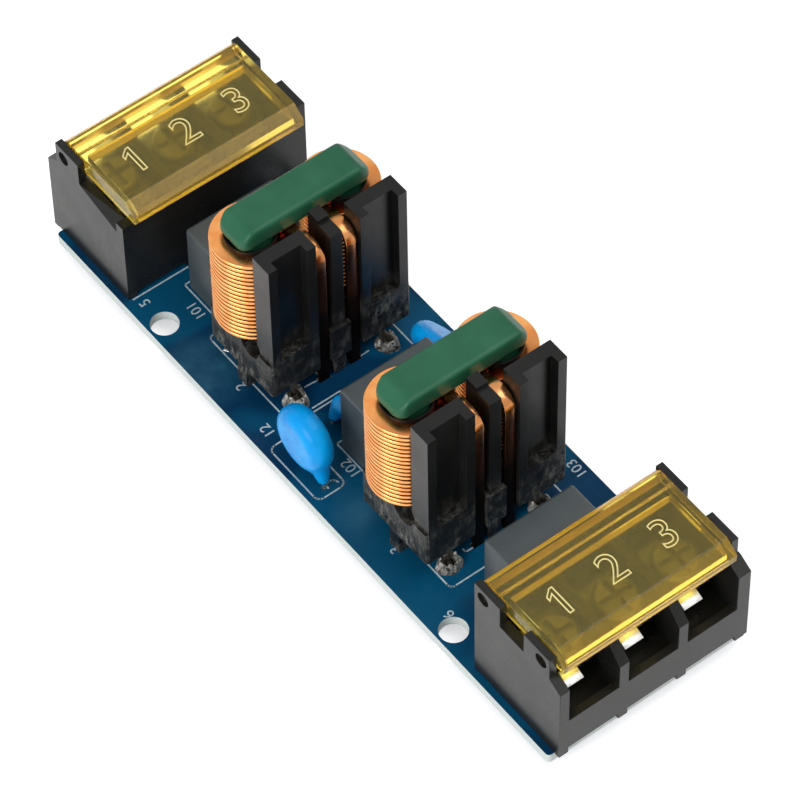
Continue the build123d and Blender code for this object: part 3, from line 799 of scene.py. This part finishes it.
LABEL_HEIGHT = 1.5
BOARD_LABELS = (
    ("5", -35.7, -13.6), ("101", -30.4, -9.0), ("2", -16.6, -11.8), ("12", -8.8, -13.4),
    ("102", 2.8, -8.5), ("3", 16.8, -11.8), ("103", 21.0, 14.6), ("6", 29.0, -12.6),
)
for index, (text, x, y) in enumerate(BOARD_LABELS):
    place = (x * MM, y * MM, BOARD_TOP + PRINT_THICK * MM / 2)
    lettering(f"print_label_{index + 1}", text, LABEL_HEIGHT, place, (-1, 0), INK, MAIN)

FIGURE_HEIGHT = 4.4
FIGURE_LINE = 0.2
FIGURE_X = {"front": 8.6, "rear": 8.9}
FIGURE_YS = (-8.8, -0.4, 8.0)
for end in ENDS:
    low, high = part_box(f"terminal_{end}_cover")
    x = low.x + FIGURE_X[end] * MM
    for way, y in enumerate(FIGURE_YS):
        lettering(
            f"cover_{end}_figure_{way + 1}", str(way + 1), FIGURE_HEIGHT, (x, y * MM, high.z), (0, 1),
            AMBER_FIGURE_HIGHLIGHT, f"{end}_cover", FIGURE_LINE,
        )


# ---- Stage ----
FLOOR_HALF = 6.0
FLOOR_DROP = 0.01 * MM
FLOOR_GLOW = 0.5
SKY_LIGHT = 0.45
SKY_SEEN = 0.9


def stage_floor():
    """White floor that shows as the photo's plain ground to the camera, through the covers and in mirrors."""
    bm = bmesh.new()
    corners = ((-1, -1), (1, -1), (1, 1), (-1, 1))
    bm.faces.new([bm.verts.new((x * FLOOR_HALF, y * FLOOR_HALF, 0)) for x, y in corners])
    mesh = bpy.data.meshes.new("floor")
    bm.to_mesh(mesh)
    bm.free()
    obj = new_object("floor", mesh)
    obj.location.z = -FLOOR_DROP
    s = Shade("floor_white", (0.86, 0.86, 0.86), 0.9, Specular_IOR_Level=0.0)
    path = s.add("ShaderNodeLightPath")
    seen = s.maths("MAXIMUM", path.outputs["Is Camera Ray"], path.outputs["Is Transmission Ray"])
    mirrored = s.maths("MULTIPLY", path.outputs["Is Glossy Ray"], FLOOR_GLOW)
    glow = s.maths("ADD", s.maths("MULTIPLY", seen, FLOOR_GLOW), mirrored)
    s.bsdf.inputs["Emission Color"].default_value = (1, 1, 1, 1)
    s.link(glow, s.bsdf.inputs["Emission Strength"])
    mesh.materials.append(s.mat)


def studio_sky():
    """White sky, brighter to the camera and in mirrors than as a light."""
    world = bpy.data.worlds.new("studio")
    bpy.context.scene.world = world
    world.use_nodes = True
    sky = world.node_tree
    background = sky.nodes["Background"]
    background.inputs["Color"].default_value = (1, 1, 1, 1)
    path = sky.nodes.new("ShaderNodeLightPath")
    seen = sky.nodes.new("ShaderNodeMath")
    seen.operation = "MAXIMUM"
    sky.links.new(path.outputs["Is Camera Ray"], seen.inputs[0])
    sky.links.new(path.outputs["Is Glossy Ray"], seen.inputs[1])
    level = sky.nodes.new("ShaderNodeMapRange")
    level.inputs["To Min"].default_value = SKY_LIGHT
    level.inputs["To Max"].default_value = SKY_SEEN
    sky.links.new(seen.outputs[0], level.inputs["Value"])
    sky.links.new(level.outputs["Result"], background.inputs["Strength"])


def lamp(name, place, size, power):
    """A square lamp that points at the part's middle."""
    target = Vector((0, 0, 0.01))
    data = bpy.data.lights.new(name, "AREA")
    data.shape = "SQUARE"
    data.size = size
    data.energy = power
    obj = new_object(name, data)
    obj.location = place
    obj.rotation_euler = (target - Vector(place)).to_track_quat("-Z", "Y").to_euler()


stage_floor()
studio_sky()
lamp("key", (0.2, -0.72, 0.42), 0.5, 4.8)
lamp("top", (0.2, 0.3, 0.85), 0.7, 2.9)


# ---- Camera, from the photograph's own perspective ----
VIEW_RIGHT = (0.60966, 0.79255, -0.01301)
VIEW_FORWARD = (-0.48109, 0.35693, -0.80072)
VIEW_PLACE = mm(317.77, -233.81, 532.0) + Vector((0, 0, BOARD_TOP))


def make_camera():
    right = Vector(VIEW_RIGHT).normalized()
    forward = Vector(VIEW_FORWARD).normalized()
    up = right.cross(forward).normalized()
    data = bpy.data.cameras.new("camera")
    data.sensor_width = 36.0
    data.lens = 227.55
    data.clip_start = 0.05
    data.clip_end = 20.0
    cam = new_object("camera", data)
    turn = Matrix((right, up, -forward)).transposed().to_4x4()
    cam.matrix_world = Matrix.Translation(VIEW_PLACE) @ turn
    bpy.context.scene.camera = cam


make_camera()
bpy.context.scene.view_settings.view_transform = "Standard"
